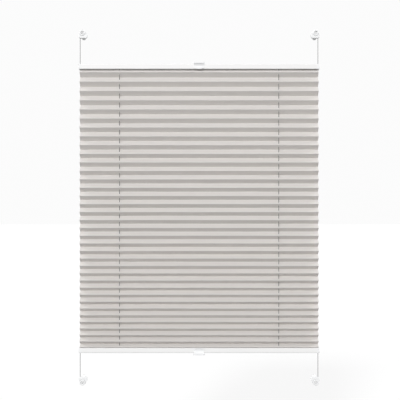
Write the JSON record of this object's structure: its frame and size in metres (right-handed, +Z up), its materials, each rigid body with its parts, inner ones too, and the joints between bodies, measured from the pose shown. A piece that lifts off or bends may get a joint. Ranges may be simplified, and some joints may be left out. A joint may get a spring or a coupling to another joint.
{
  "type": "pleated blind",
  "caption": "Free-hanging pleated blind: folded fabric between movable rails, held on tensioned cords by screwed tension shoes.",
  "frame": {"origin": "centre of the rectangle of the shoes' screw holes, on the face of the window sash", "axes": "+X along the rails, +Y from the room towards the window, +Z up along the tensioned cords"},
  "size_m": [0.602, 0.0271, 0.889],
  "materials": {
    "white_aluminium": "satin",
    "white_plastic": "satin",
    "pleated_cloth": "matte",
    "cord": "matte",
    "spring_steel": "bright"
  },
  "bodies": {
    "root": {"upper_shoe_foot_left": "white_plastic", "upper_shoe_foot_right": "white_plastic", "lower_shoe_foot_left": "white_plastic", "lower_shoe_foot_right": "white_plastic", "upper_cord_holder_left": "white_plastic", "upper_cord_holder_right": "white_plastic", "lower_cord_holder_left": "white_plastic", "lower_cord_holder_right": "white_plastic"},
    "upper_rail_body": {"upper_rail": "white_aluminium", "upper_end_cap_left": "white_plastic", "upper_end_cap_right": "white_plastic", "upper_handle": "white_plastic", "upper_fabric_strip": "white_plastic", "upper_cord_guide_left": "white_plastic", "upper_cord_guide_right": "white_plastic", "pleated_fabric": "pleated_cloth", "main_cord_left": "cord", "main_cord_right": "cord"},
    "lower_rail_body": {"lower_rail": "white_aluminium", "lower_end_cap_left": "white_plastic", "lower_end_cap_right": "white_plastic", "lower_handle": "white_plastic", "lower_fabric_strip": "white_plastic", "lower_cord_guide_left": "white_plastic", "lower_cord_guide_right": "white_plastic", "tail_cord_left": "cord", "tail_cord_right": "cord", "tension_spring_left": "spring_steel", "tension_spring_right": "spring_steel"}
  },
  "joints": [
    {"name": "upper_rail_slide", "type": "slide", "parent": "root", "child": "upper_rail_body", "axis": [0, 0, 1], "range_m": [-0.3, 0.05], "deforming": ["pleated_fabric", "main_cord_left", "main_cord_right"]},
    {"name": "lower_rail_slide", "type": "slide", "parent": "root", "child": "lower_rail_body", "axis": [0, 0, 1], "range_m": [-0.05, 0.3], "deforming": ["pleated_fabric", "main_cord_left", "main_cord_right", "tail_cord_left", "tail_cord_right"]}
  ]
}
